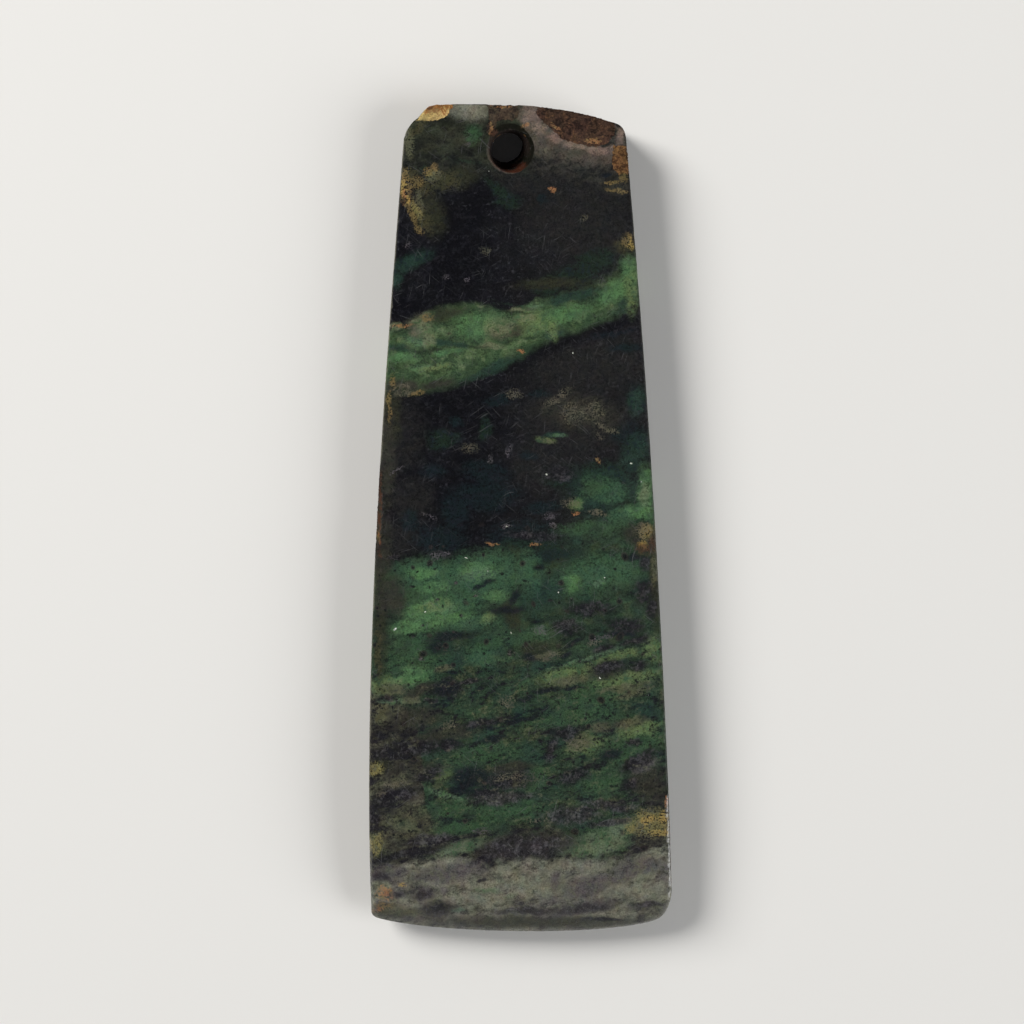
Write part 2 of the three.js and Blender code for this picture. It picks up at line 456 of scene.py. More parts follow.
# Near-black painted shade for the hole's upper-right rim
BORE_RIM_SHADE = tint(17, 17, 12)
BORE_RED = tint(50, 27, 18)
GRAIN = tint(17, 20, 20)
GRAIN_RING = tint(40, 34, 33)
CRACK = tint(22, 26, 22)
SCRATCH = tint(88, 88, 90)
# Pale edge colour: partly real wear, partly a painted highlight where the edges catch the light
WEAR_AND_HIGHLIGHT = tint(112, 109, 95)
WHITE_SPECK = tint(190, 194, 182)

# A layer of patches: its colour and that of its flecks, how much of the ground it covers, how much noise
# tears it, how deep it goes (mm), and each patch's place and reaches (mm) and any turn (degrees).
Layer = namedtuple("Layer", "colour fleck cover tear deep places")
THROUGH = 40
SHALLOW = 5

FIGURE_LAYERS = [
    # Tone of the near-black stone
    Layer(INK, CHARCOAL, 0.9, 0.9, THROUGH, [
        ((-17, 66), (9, 9), 20), ((-28, 57), (7, 3.5)), ((-13, 31), (11, 4), 14), ((-9, 26), (8, 4), -15),
        ((-15, -3), (3, 6)), ((-14, 13), (4, 6), 20), ((-6, 4), (4, 3)), ((-17, 79), (6, 3)),
        ((10, 45.5), (9, 2), 22), ((24, 50.5), (8, 1.6), 22),
    ]),
    Layer(ASH, ASH_BROWN, 0.75, 1.0, THROUGH, [
        ((15, 80), (15, 10)), ((20, 72), (9, 5), 20), ((-31, 22), (6, 9)), ((18, 40), (16, 6), 10),
        ((14, 25), (14, 7), -10), ((-29, 5), (6, 6)), ((4, 14), (6, 6)), ((-32, -5), (5, 5)),
        ((2, 88), (9, 3), -8),
    ]),
    Layer(DEEP_TEAL, BLUE_DARK, 0.75, 2.4, THROUGH, [
        ((-9, 12), (6, 2.6), -4), ((-21.5, -5.5), (6.5, 3.6)), ((-29, -1), (2.4, 3)), ((-9, 6), (8, 4)),
        ((-17, 2), (3.6, 5)), ((2, 16.5), (2.4, 1.4)), ((-23, 12.5), (3, 2)), ((7, 3), (6, 1.6), 8),
        ((0, -4), (8, 3.4), 4), ((8, -10), (7, 2), 4), ((-17, 25.6), (2, 1.1)), ((5.6, 84.4), (1.6, 1.1)),
        ((28, 45), (5, 1)), ((-6, 31), (4, 1.6), 10), ((28.5, 22), (4, 4), -30), ((5, 33), (3, 1.4)),
    ]),
    Layer(DARK_LEAF, DEEP_TEAL, 0.75, 2.2, THROUGH, [
        ((-20.5, 21), (4, 2.6)), ((-5.5, 86.5), (4.6, 1.7), -42), ((-3.5, 83.6), (3.4, 1.8)),
        ((14, 64), (7, 3), 14), ((7, 61), (4, 2.4)), ((19, 67.5), (6, 3), 24), ((-9.3, 23.6), (1.6, 3)),
        ((4, -6), (8, 2.4), 6), ((12, 11), (6, 3)), ((22, 12), (7, 3)),
    ]),
    # Greens
    Layer(TEAL_GREEN, DEEP_TEAL, 0.8, 0.9, THROUGH, [
        ((-29.5, 67.8), (6.5, 2), 24), ((-33, 63.6), (1.6, 3)), ((30.5, 17.5), (3.4, 5), -20),
        ((31, 31), (2.6, 4)), ((-22, 46.6), (9, 0.9), -8), ((-32.5, 45), (4, 1.2), -10),
        ((14, 58.6), (7, 1.2), 14), ((28.4, 57), (4, 1.6), 34), ((9, 48.6), (3, 1.4), 20),
        ((-8, 39.4), (8, 1.2), 24), ((-14, -36.5), (8, 3), 12), ((33, -51), (3, 2)),
        ((-20.5, -34.5), (3.4, 3)), ((9.3, 22.2), (2.6, 0.8)), ((22, 7), (9, 6), 10),
        ((6, -19), (8, 4), 10), ((27, 0.5), (6, 2.6), 6),
    ]),
    Layer(LEAF_GREEN, BODY_GREEN, 0.8, 1.7, THROUGH, [
        ((20, 8), (4.4, 3)), ((18, -2.6), (8, 2.2), 4), ((28, 0), (5, 2.4), 10),
        ((-24, -19), (10, 8), 12), ((-10, -15), (12, 6), 6), ((21, -14.5), (11, 4.6), 4),
        ((-28, -36), (8, 8)), ((2, -32), (7, 3), 10), ((-8, -33), (7, 2), 24), ((-19, -77), (7, 3), 6),
        ((-4, -77.4), (10, 2.8), 4), ((-8, -62), (8, 2.4), 4), ((21, -69.4), (6, 3.4), 10),
        ((4, -68.6), (3.4, 4), -30), ((24, -82), (7, 2.6), 12), ((-17, -82), (8, 1.8), 4),
        ((20, -46.5), (14, 3), 10), ((-12.6, 101.6), (2, 2.8)), ((30, -60), (9, 4), 16),
        ((14, -52.6), (12, 2.6), 8),
    ]),
    Layer(SEA_GREEN, LEAF_GREEN, 0.85, 1.2, THROUGH, [
        ((-9, -14.6), (10, 5.4), 6), ((22, -14), (8, 4), 4), ((-24, -15), (8, 4)), ((-14, -22), (5, 3)),
        ((2, -14), (4, 5)), ((-14, -28), (8, 2), 8), ((23.6, 6.4), (4.4, 2.8)),
        ((27.4, 1.6), (4, 1.6), 20), ((-10, -37), (4, 2)),
    ]),
    Layer(BRIGHT_GREEN, LEAF_GREEN, 0.85, 1.3, THROUGH, [
        ((-24, -24.4), (6.6, 3), 10), ((-23, -18.4), (4, 1.6)), ((-12, -13.2), (4, 1.6), 6),
        ((-26, -14.4), (4, 1.4)), ((-20, -26.6), (7, 1.8), 8), ((33.2, 8), (2, 5.4)),
        ((31.8, 1.8), (3.4, 2.2)), ((-28.5, -28.6), (6, 1.6), 8), ((-10, 51), (7, 3), 4),
        ((10.6, 53.6), (8, 2.4), 16), ((25.6, 60.4), (6, 2.4), 30), ((-31, 42.4), (4, 1.2)),
        ((-19, 44), (4, 0.8), 6), ((-29, -42), (5, 2.2), 14), ((15.4, 4), (1.6, 1.4)),
        ((28.8, 65), (2.4, 4.4)), ((13.8, -17.4), (2.6, 2)), ((-6.5, -20.6), (3, 1.6)),
    ]),
    Layer(MINT, BRIGHT_GREEN, 0.5, 1.8, THROUGH, [
        ((-11, -14.6), (5, 2), 8), ((-20, -23.4), (3.4, 1.6)), ((-27.6, 46.6), (3, 1.2), -8),
        ((-25, 40), (4, 1), 4), ((-33.6, -48.2), (4, 1.1)), ((5, -29.8), (2, 1)),
        ((-8.6, -98.2), (2.8, 1), -14), ((-2.6, -99.8), (2, 0.6), 10), ((19, -36.4), (13, 0.5), 17),
        ((3, 55.6), (2.6, 0.8), 4), ((21, -17), (1.8, 0.8), 20), ((-16.6, -104.2), (2, 0.6)),
        ((-20, -73), (5, 0.8), -14), ((10, 21.9), (1.8, 0.6)),
    ]),
    Layer(YELLOW_GREEN, LEAF_GREEN, 0.8, 1.9, THROUGH, [
        ((2.4, 51.6), (4.4, 3.6), -10), ((-22, 40), (5, 0.9), 6), ((29.6, 60.6), (1.8, 6)),
        ((-22.6, -23.2), (4, 1.4), 14), ((12, -41.4), (7, 2.4), 12), ((28, -42.4), (8, 2), 8),
        ((35, -34.6), (2.6, 3.4)), ((-36, -44), (3.6, 2.4), 10), ((17, -59.6), (4.4, 3), 20),
        ((32, -55.6), (6, 2), 10), ((-20.4, -67.8), (2.6, 1.6)), ((25, -36.6), (7, 1.1), 16),
        ((8.6, 50), (1.6, 3), 10), ((-8.8, -26.4), (2.4, 1.2), 30), ((14.4, 3.6), (1.8, 1.2), 20),
        ((7, 20.6), (2.4, 0.9), -14),
    ]),
    # Olive, brown and pale stone
    Layer(PALE_GREEN, LEAF_GREEN, 0.9, 1.2, THROUGH, [
        ((19.6, -86.4), (9, 3.2), 12), ((20, -87), (7, 2.4), 12), ((-15, -87.2), (8, 1.6), 14),
        ((-8, -98.4), (3, 1), -14), ((-31, -81.4), (3, 1.6)), ((26, -82), (3, 2), 10),
        ((33, 7), (1.4, 3)),
    ]),
    Layer(OLIVE, BUTT_SHADE, 0.85, 1.2, 14, [
        ((-24, 81), (4, 6), 20), ((-17, 90), (5, 3), 10), ((-34, 27), (2.6, 7)),
        ((-22, 53.6), (7, 1.8), 12), ((-37, -27), (2, 16)), ((35.6, -18), (1.6, 12), 4),
        ((-37.6, -66), (3, 2.4)), ((-38.4, -86), (2, 3.4)), ((-34, -104.6), (6, 2), -10),
        ((6, -107.4), (30, 1.8)), ((27.6, 72), (3.4, 2.4), 10), ((-2.6, -26), (2.2, 4), 20),
        ((8, 62), (9, 1.6), 4), ((4, -34.6), (5, 2)),
    ]),
    Layer(BROWN_GREY, DARK_BROWN, 0.9, 1.4, THROUGH, [
        ((-34.2, -21), (4, 5.6)), ((-30, -53), (9, 3.4), 6), ((-33, 34.6), (4.4, 2.6)),
        ((-27.4, 52.2), (3.6, 2), 24), ((-30, -68), (8, 3), 14), ((-37, -8), (3, 10)),
        ((33.6, -5.6), (3.2, 4)), ((-35.4, 16), (2.4, 12)), ((16, 28), (10, 4.4), -8),
        ((23, -40), (5, 2.4), 10), ((-26, -45.4), (5, 1.6), 20), ((-22, 35.4), (5, 1.2), 8),
        ((-30, 35), (3, 1.8)), ((31, -4), (4, 3)), ((-20, -57), (8, 2.2), 10), ((34, -70), (5, 6), 20),
        ((-4, 49.6), (5, 1.8), 8), ((-2, -66), (6, 1.6), 6), ((25.6, 87.6), (4, 2)), ((-2, 49), (2, 1.2)),
        ((3, -86), (12, 3), 4),
    ]),
    Layer(BAND_CREAM, BAND_GREEN, 0.8, 1.5, THROUGH, [
        ((-26.4, 50.4), (3, 2.6), -50), ((-24, 47), (1.4, 2.2), -30), ((0, 55.3), (3, 0.6), 6),
        ((-5.6, 50.6), (4, 2.4)), ((1.4, 53), (2.4, 1.2)), ((-33, 51), (2, 1)), ((-7.4, 45.6), (3, 1)),
        ((-24.6, 53.4), (2, 1.2), 20),
    ]),
    Layer(OLIVE_TAN, BROWN_GREY, 0.8, 2.0, THROUGH, [
        ((-30, -81), (7, 3.6), 4), ((-35.6, -51), (4, 1.6)), ((-28.6, -48), (2.6, 1.2)),
        ((-33, -69.6), (7, 1.6), 16), ((-37.6, -86), (2.6, 3.4)), ((6, -36.4), (5, 0.9), 12),
        ((16, -59), (3.4, 2), 10), ((29, -54), (5, 1.4), 8), ((13, -43), (5, 1.2), 6),
        ((-20.6, -40), (2.4, 0.9), 12), ((28, -44.6), (7, 1), 10), ((-31, -104), (6, 1.8), -6),
        ((-34, -45), (4, 1.4)), ((-3.4, -73.4), (3, 0.9)), ((30, -46), (5, 1.2), 14),
        ((21, -55), (2.6, 1.4)),
    ]),
    Layer(PALE_STONE, GREY_OLIVE, 0.9, 1.0, THROUGH, [
        ((2.6, -96), (9.6, 4.6), 4), ((31, -98.6), (8.4, 3), 4), ((3, -97), (6, 3)),
        ((-14, -100.6), (12, 1.8), 2), ((-29, -102.8), (4, 1.2)), ((-13.4, 108.4), (5.6, 2.8), -2),
        ((14, -92), (9, 1.6), 2), ((-6, -96), (6, 1.6), 8),
    ]),
    Layer(LILAC_GREY, GREY_OLIVE, 0.85, 1.2, THROUGH, [
        ((18, -97.6), (8, 3), 24), ((31, -92.4), (8, 2.2), 10), ((-26, -99.4), (4, 1.8)),
        ((-12.4, -92.6), (3.6, 2)), ((16, -103.4), (8, 1.8), 10), ((-33, -99.9), (3, 0.9)),
        ((-36, -93.6), (4, 2.4)), ((27, -95), (5, 1.4), 20), ((9.4, -96), (1.4, 3)),
        ((33, -65.4), (3.4, 1.6), 20), ((-22, -94.4), (7, 2.4), 4),
    ]),
    Layer(LILAC_DARK, LILAC_FLECK, 0.95, 1.8, THROUGH, [
        ((3, -4.6), (7, 1.4), -4), ((10, 12), (5, 2)), ((33, -12), (1.6, 2)), ((34.6, -24), (1.6, 3)),
        ((18, -24), (6.4, 1.9), 4), ((33, -19.6), (3, 3.2)), ((28, -28.4), (5, 2.2), -10),
        ((12.4, -28.6), (3.6, 2)), ((30.4, -32.4), (4.4, 1), 18), ((22.4, -34.4), (3, 0.9), 10),
        ((23.6, -39), (4, 1.6), 10), ((31.4, -39), (2.4, 1.6), 30), ((-19.4, -45), (4, 2.2), 10),
        ((-18, -44.4), (2.4, 1.6), 20), ((-13.4, -43), (3.4, 0.7), 10), ((-23.4, -48.2), (2, 0.9)),
        ((-28, -60.8), (8, 2.4), 6), ((12, -56.6), (4.4, 2)), ((8.2, -61), (1.4, 4), -14),
        ((30, -59.2), (2, 1)), ((-34, -62), (6, 1.8), 8), ((-10, -54), (6, 1), 6),
        ((-33, -73.4), (6, 2.2), 14), ((-3, -69.4), (7, 2.4), 4), ((14, -68), (4.6, 2.2), 8),
        ((31.4, -64), (6, 1.8), 30), ((29, -70.4), (2.4, 1.8), 20), ((-9, -72.6), (5, 1.2), 6),
        ((-19, -60), (4, 1.4), 10), ((-24, -67.6), (4, 1.8), 20), ((-38.6, -79), (1.8, 3.4)),
        ((-30, -89), (10, 0.9), 10), ((-22, -103.8), (4.4, 2.4)), ((-10, -95.9), (1.4, 0.5), 14),
        ((22, -106.6), (6, 0.6), 2), ((-34.6, -47.6), (2, 0.8)),
    ]),
    Layer(LILAC_DUSK, DUSK_FLECK, 0.9, 1.6, THROUGH, [
        ((13.6, -78.4), (7, 2.4), 4), ((24, -76), (7, 1.4), -6), ((0.6, -87), (11, 3), 3),
        ((-23.6, -85), (6, 1.5), 6), ((1, -104.2), (9, 1.1), 2), ((34, -102.6), (5, 0.8), 4),
        ((-32.6, -99.9), (1.6, 0.5)), ((-5, -74), (8, 1.4), 6), ((-37, -95), (3, 1.6)),
        ((24, -80.6), (6, 1), 8), ((18, -103.6), (8, 1.2), 8), ((-26, -100), (3, 1.2)),
    ]),
    Layer(BLUE_DARK, LILAC_DARK, 0.9, 1.6, THROUGH, [
        ((-3.2, -24.4), (5, 1.1), 6), ((-18.4, -31.2), (6.6, 1.5), 10), ((-22, -33.8), (2.6, 2)),
        ((5, -13), (1.5, 0.9), 20), ((-8.4, -16.8), (1.9, 0.7), 14), ((-10.6, -18), (2, 0.5), 20),
        ((2, -48), (2.4, 0.8), 20), ((7, -45.4), (4.4, 0.6), 14), ((14, -44.8), (3.4, 0.4)),
        ((-13.4, -68.4), (6, 2.4), 2), ((-15, -71.8), (5, 0.8)), ((24, -62.6), (3.4, 1.4), 24),
        ((-1, -53.4), (6, 0.7), 6), ((-7, -58.4), (4, 0.8), 10), ((2.4, -36.6), (2.2, 1.2), -20),
        ((12, -36), (2, 0.6), 14), ((26, -30.6), (5, 0.7), -6), ((14, -33), (3, 0.7), 30),
        ((30, -10.4), (3, 1)), ((-19.4, -44.8), (3.8, 1.9), 10), ((24, 48.6), (7, 1), 14),
        ((22.6, 91), (1.6, 0.6)), ((-1.4, -20.6), (3, 0.9), 60),
    ]),
    Layer(CRACK, DARK_LEAF, 0.6, 1.6, THROUGH, [
        ((-1, 54.5), (4.4, 0.35), -2), ((28, 4), (4.4, 0.4), 14), ((-5.4, 56), (2.4, 0.6), -24),
        ((-2.8, 47), (1.4, 0.5), 24), ((2.6, 47.8), (1.8, 0.4), -4), ((-14, 94.2), (7, 0.7), -12),
        ((-25, 92.2), (3.4, 1.3)), ((-24, 44.5), (4, 0.5), 8), ((-12, 45.4), (4, 0.4), -6),
        ((-2, 56.6), (6, 0.6), -14),
    ]),
    Layer(GRAIN, LILAC_GREY, 0.9, 1.2, SHALLOW, [
        ((-2.4, -35.9), (0.8, 0.8)), ((-11.6, -20.3), (0.6, 0.4)), ((-28.6, -17.9), (0.8, 0.5)),
        ((7.8, -22), (0.7, 0.4)), ((-17.3, -17), (0.5, 0.4)), ((-22.7, -13.4), (0.5, 0.35)),
        ((14, -21.2), (0.5, 0.45)), ((15.6, -38), (0.5, 0.5)), ((1.3, -16.4), (0.5, 0.5)),
        ((-21.4, -21.5), (0.6, 0.35)), ((-26, -28.2), (0.4, 0.4)), ((-8, -42.2), (0.6, 0.5)),
        ((-28.6, -31), (0.9, 0.6)), ((-26, -37), (0.9, 0.5)), ((5, -13), (0.8, 0.4), 10),
        ((-15.2, -25.8), (0.4, 0.6)),
    ]),
]

# Small light marks, broken into crumbs
MARK_LAYERS = [
    Layer(TAN, BROWN_GREY, 0.75, 3.0, SHALLOW, [
        ((18.4, 28.4), (3.6, 2.2)), ((13.8, 27.6), (2.8, 2.4)), ((23, 24), (3, 0.8), -26),
        ((10, 32), (4, 1), 30), ((21, 22), (1.3, 1)), ((-2, 32.8), (2, 1)),
        ((7.4, 20.4), (2.2, 0.8), -20), ((-13.4, 18.4), (2.2, 1.3)), ((15, -59.6), (2.6, 2)),
        ((-3.4, -48.4), (2.2, 1.6)), ((8.4, -36.6), (2.4, 0.9), 16), ((-3, -68.4), (4.4, 0.9), 4),
        ((19.4, -33), (2, 0.9), 10), ((4.6, -79.8), (2.6, 0.7)), ((-33, -70), (5.4, 0.8), 16),
        ((-19, -54.6), (2, 1.1)), ((-36.6, -73), (1.6, 0.6), 20), ((13.8, 4), (2.6, 1.3)),
        ((20.6, 1.2), (2.8, 0.6), -10), ((6.6, 97.3), (0.7, 0.6)), ((-33.4, 72.8), (0.8, 1)),
        ((17, 79.6), (1, 0.7)), ((-9.4, 70.8), (1.2, 0.9)), ((32.8, -3.2), (2.4, 2)),
        ((-31.2, 34.4), (2.6, 1.6)), ((-28, 49.4), (2.2, 1.4), -50),
    ]),
    Layer(LILAC_PALE, LILAC_DUSK, 0.8, 3.0, SHALLOW, [
        ((8, 0.6), (1.6, 0.9)), ((8.7, -2), (1, 0.7)), ((-3.6, -2), (1.3, 0.6), 10),
        ((-21, -9.8), (2.6, 1), 6), ((-33.4, -10.4), (1.6, 0.7), 10), ((-24, 0.6), (1.8, 0.6), -20),
        ((4.9, -29.8), (1.8, 1.1), 5), ((-10.6, -82.6), (2, 0.8)), ((-13.8, 99), (0.8, 0.6)),
        ((38.4, -92.6), (1.2, 0.8)), ((-7.8, 15.6), (0.7, 1.1)), ((-3, 18), (0.6, 1.6)),
        ((-29.6, 72.2), (1, 0.8)), ((-14, 63.2), (0.9, 0.7)), ((-19.4, 63.6), (0.9, 0.6)),
        ((-33, 12.8), (1.8, 0.4), 20), ((22, -31.4), (3, 0.6), 14),
    ]),
    Layer(WHITE_SPECK, WHITE_SPECK, 0.95, 0.6, SHALLOW, [
        ((-33.1, -29.2), (0.28, 0.24)), ((-8.8, -13.8), (0.2, 0.2)), ((-2.7, -30.4), (0.24, 0.24)),
        ((10, -19.3), (0.16, 0.26)), ((-14.6, -10.5), (0.16, 0.14)), ((22.5, -15.5), (0.22, 0.16)),
        ((-8.4, 92), (0.18, 0.16)), ((31.9, 10), (0.3, 0.24)), ((-25.2, -24.6), (0.24, 0.24)),
        ((29.4, 14.6), (0.3, 0.14)), ((-3.6, -2), (0.3, 0.12), 10), ((21, -42), (0.2, 0.2)),
    ]),
]

HALO_LAYERS = [
    Layer(HALO_SHADE, BUTT_GREY, 0.85, 1.0, SHALLOW, [
        ((7, 99.4), (7, 3.6), -14), ((15, 96.4), (9, 2.6), -8), ((3.4, 102.6), (3, 3.4)),
        ((24, 95.4), (4, 1.8)),
    ]),
    Layer(HALO, HALO_SHADE, 0.85, 1.3, SHALLOW, [
        ((2.6, 106.6), (2.8, 3), -30), ((5.6, 103.2), (2.4, 2.2), -40), ((9.6, 100.8), (3, 1.3), -30),
        ((14.6, 98.6), (4, 1.2), -16), ((20.4, 97.2), (4, 1.1), -4), ((25.4, 97.8), (2, 1.1)),
        ((26.4, 101), (1.2, 2.4)),
    ]),
]

STAIN_LAYERS = [
    Layer(STAIN_OLIVE, OLIVE, 0.85, 1.6, SHALLOW, [
        ((-21.4, 89.4), (4.4, 2.4), 10), ((-26, 80), (1.8, 4.4), 24), ((-18, 89), (2, 1.6)),
        ((27.6, 72.6), (2.2, 1.6)), ((-24.6, 87.4), (2.6, 1.6)), ((35.4, -12), (0.8, 6)),
        ((-29, 91), (2, 2)), ((32.8, -8), (2.6, 2)), ((-37.6, -36), (0.8, 6)),
        ((-27, 103.4), (2.4, 1.2), 40),
    ]),
    Layer(OLIVE_TAN, STAIN_OLIVE, 0.85, 1.8, SHALLOW, [
        ((35.4, -13), (0.7, 4.4)), ((-31, -104.4), (5, 1.6), -6), ((-23, 90.4), (2.6, 1.2), 20),
        ((-37, -52), (1.4, 2)), ((-35, -103.4), (3, 1.2)), ((-26.6, 84), (1, 2.4), 10),
        ((-29.4, 99.6), (1.2, 4), 6),
    ]),
    Layer(YELLOW_OCHRE, OLIVE_TAN, 0.9, 1.8, SHALLOW, [
        ((34.6, -80.6), (5.2, 3.3), 8), ((-38, -66), (1.8, 1.6)), ((-38.2, -86), (1.6, 2.6)),
        ((-23.6, 91.4), (1.4, 1), 30), ((-27.4, 81.6), (0.8, 2.6), 24), ((30, -82.4), (2.4, 1.2)),
    ]),
    Layer(OCHRE, OCHRE_SHADE, 0.85, 2.4, SHALLOW, [
        ((-30.4, 87.6), (1.9, 3.2)), ((-27.2, 88.6), (1.5, 1.5)), ((-30.8, 90.6), (1.4, 2)),
        ((-24.6, 91.8), (1.2, 1), 30), ((-30.6, 84.4), (1, 1.9), 20), ((-28.6, 80.2), (0.7, 3.2), 25),
        ((-26.6, 76.4), (0.8, 1.7), 30), ((-22.6, 93), (1, 0.9), 40), ((28.6, 73.6), (1.4, 1.4)),
        ((24.6, 88.8), (3, 0.5), -4), ((26, 86.4), (3, 0.5), -10), ((-36.4, -102.8), (2.4, 0.9)),
        ((27.6, 90), (1, 1)), ((-34.6, 27.4), (0.6, 2.4)), ((-34.6, 31.4), (0.6, 2.4)),
        ((-27.4, 33.4), (2, 0.7), 10), ((-33.4, 36.4), (0.9, 1.6)), ((-24.4, 53), (1.6, 1.1)),
    ]),
    Layer(AMBER, YELLOW_OCHRE, 0.8, 2.4, SHALLOW, [
        ((33.4, -3.4), (1.6, 1.6)), ((32.4, -6.6), (1.2, 1)), ((36.8, -83.2), (3, 0.8)),
        ((34, -80), (2, 0.8), 20), ((-31, 87.6), (1, 2.2)), ((37.6, -79), (0.9, 1.6)),
        ((-31.2, -97.3), (1.3, 0.5)), ((29.6, 72.6), (0.6, 1.2)), ((-30, 84.6), (0.4, 1.4), 20),
    ]),
    Layer(ORANGE, OCHRE, 0.8, 2.6, SHALLOW, [
        ((-36.2, -99.6), (2.2, 1.8), 10), ((-38, -104), (1.6, 0.8)), ((8.8, 86.6), (0.8, 0.7), 30),
        ((7.8, 86.8), (0.5, 0.5)), ((20.5, 15.4), (0.6, 0.8)), ((-7.2, -6.4), (1.4, 0.4), -10),
        ((4, -7), (1.6, 0.4), 10), ((-31, 51.1), (2.6, 0.4)), ((0.2, 44.4), (1, 0.4), 10),
        ((14.6, 1.6), (1, 0.4)), ((-37.2, -5.4), (0.4, 1.6)), ((19.4, 99.7), (1.8, 0.7), -8),
        ((-7.9, 103.4), (0.6, 1.6)), ((1.4, 104.2), (1.2, 0.5), 30), ((-31, 86), (0.4, 1.4)),
        ((-4.6, 108.9), (2.2, 0.4)), ((38.6, -75), (0.5, 1.6)), ((9.4, 103.6), (1.6, 0.5), -30),
        ((-22.6, 107.8), (1.7, 0.6), 14),
    ]),
    Layer(RUST, DARK_BROWN, 0.8, 2.0, SHALLOW, [
        ((32.6, -7.6), (2.2, 1.4)), ((-37.2, 5), (0.6, 7)), ((-19.1, 49.2), (0.6, 0.4)),
        ((-37.2, -8), (0.5, 3)), ((-24, 108.6), (1.6, 0.5), 24), ((-31.2, 84), (0.5, 1)),
        ((35, -6), (0.9, 2.2)), ((-7, 102.2), (0.9, 0.8)),
    ]),
]

# Where the green band, the green body and the pale end begin and stop, as places (mm) on curves
BAND_TOP = [
    (-42, 50.5), (-30, 51.5), (-25, 54.5), (-20, 56.3), (-14, 57.2), (-9, 56.6), (-4, 54.9), (0, 55.8),
    (4, 57.6), (12, 59.2), (20, 61.8), (26, 66), (30, 70.5), (42, 72),
]
BAND_FOOT = [
    (-42, 32), (-26, 33.2), (-18, 34.6), (-10, 37.6), (-4, 40.3), (2, 43.2), (9, 46.3), (16, 48.9),
    (23, 51.8), (30, 56), (42, 60),
]
BODY_TOP = [
    (-42, -12), (-30, -11), (-20, -10.5), (-10, -8.5), (-4, -6.5), (3, -8), (10, -5), (16, -1), (24, 3),
    (30, 11), (42, 15),
]
BODY_FOOT = [
    (-42, -46), (-34, -47), (-27, -58), (-24, -80), (-10, -84), (0, -83), (10, -82), (18, -89), (28, -88),
    (33, -76), (42, -74),
]
PALE_TOP = [
    (-42, -97), (-34, -93), (-26, -90), (-16, -90.5), (-10, -92.5), (0, -90.5), (12, -90.5), (22, -90),
    (32, -88), (42, -87),
]
CURVE_SPAN = 42  # half the width that the curves cross (mm),
CURVE_RISE = 110  # and half the length
GRAIN_SLOPE = 13  # degrees that the stone's streaks rise towards the right


